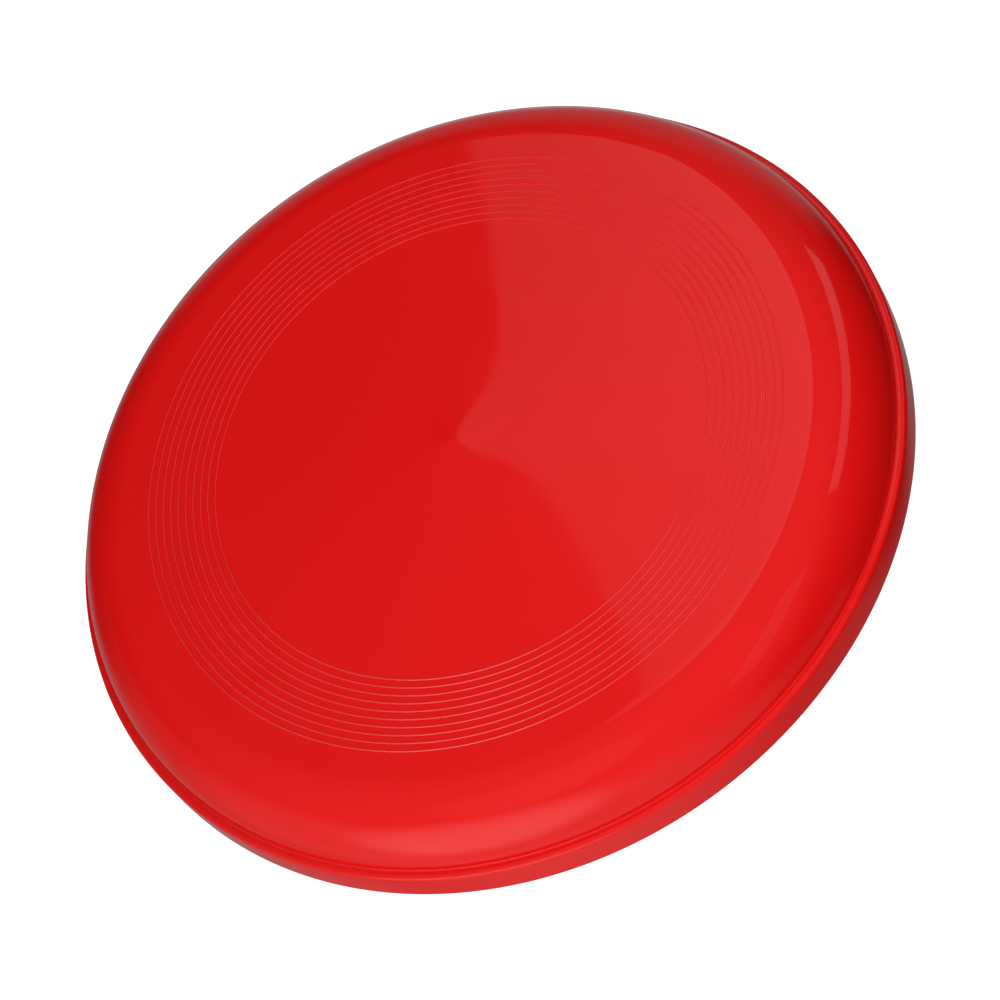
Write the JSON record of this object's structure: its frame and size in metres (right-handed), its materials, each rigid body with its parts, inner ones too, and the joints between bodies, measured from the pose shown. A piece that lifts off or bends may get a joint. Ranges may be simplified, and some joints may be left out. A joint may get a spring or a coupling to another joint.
{
  "type": "flying disc",
  "caption": "One-piece moulded throwing disc: shallow conical top with fine raised rings, rounded shoulder and an outstanding lip, open underneath.",
  "frame": {"origin": "centre of the flat ring that the disc rests on, directly below its tip", "axes": "+Z along the disc's axis, out of its top; the disc is round, so X and Y are any two directions across it"},
  "size_m": [0.22, 0.22, 0.0289],
  "materials": {
    "red_plastic": "glossy moulded polypropylene, dyed red right through"
  },
  "bodies": {
    "root": {"disc_shell": "red_plastic"}
  },
  "joints": []
}
